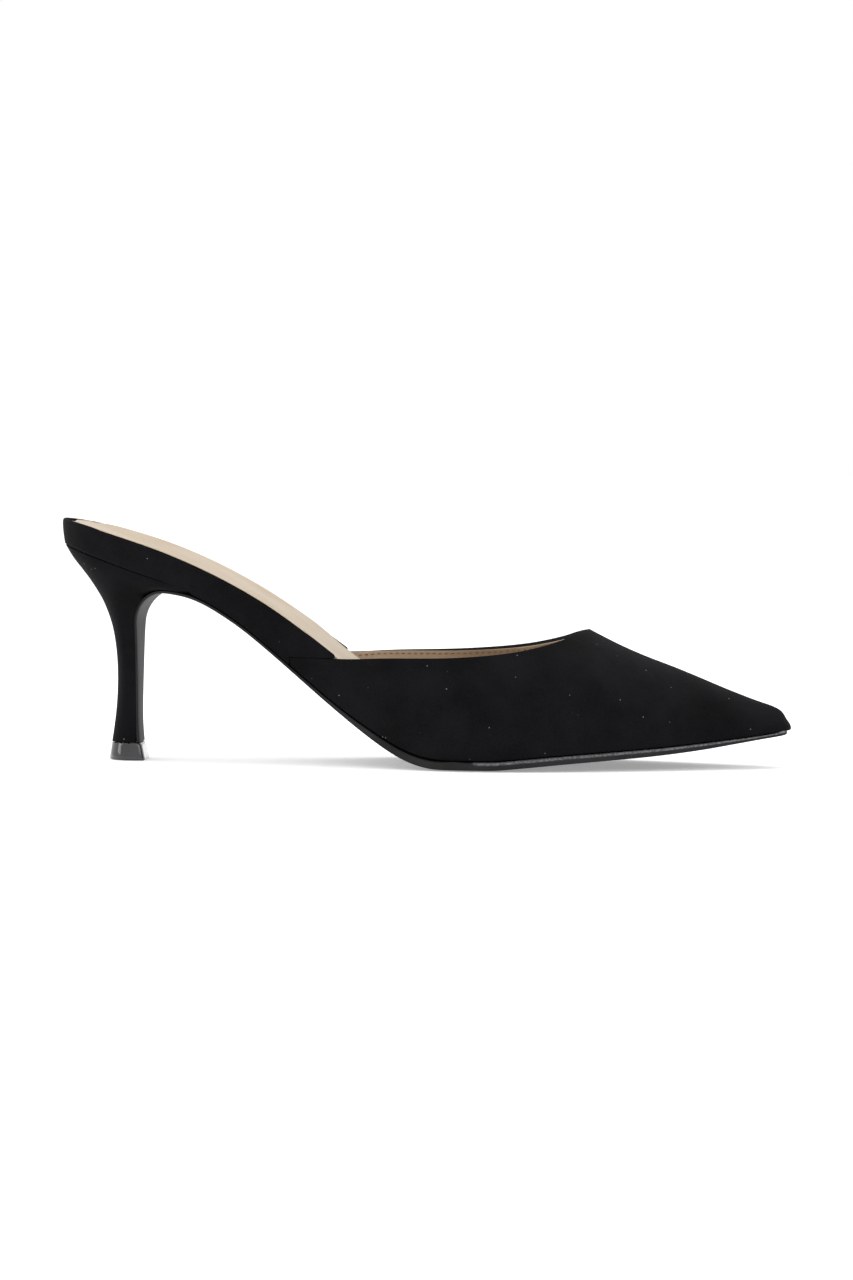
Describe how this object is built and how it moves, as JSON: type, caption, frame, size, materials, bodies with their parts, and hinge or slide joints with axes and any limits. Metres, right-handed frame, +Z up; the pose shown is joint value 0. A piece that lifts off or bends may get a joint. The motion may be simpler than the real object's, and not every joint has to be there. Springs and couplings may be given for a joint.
{
  "type": "heeled mule",
  "caption": "Backless pointed-toe shoe in black suede on a slim high heel, with a tan footbed; stands empty on its sole.",
  "frame": {"origin": "under the middle of the shoe's box, on the plane of the floor it stands on", "axes": "+X towards the toe, +Y towards the inner side of the foot, +Z up from the floor"},
  "size_m": [0.25, 0.077, 0.083],
  "materials": {
    "black_suede": "napped suede, matte",
    "black_sole": "smooth, satin",
    "tan_lining": "smooth, matte",
    "gloss_black": "gloss"
  },
  "bodies": {
    "root": {"upper": "black_suede", "footbed_wrap": "black_suede", "heel": "black_suede", "outsole": "black_sole", "footbed": "tan_lining", "heel_tip": "gloss_black"}
  },
  "joints": []
}
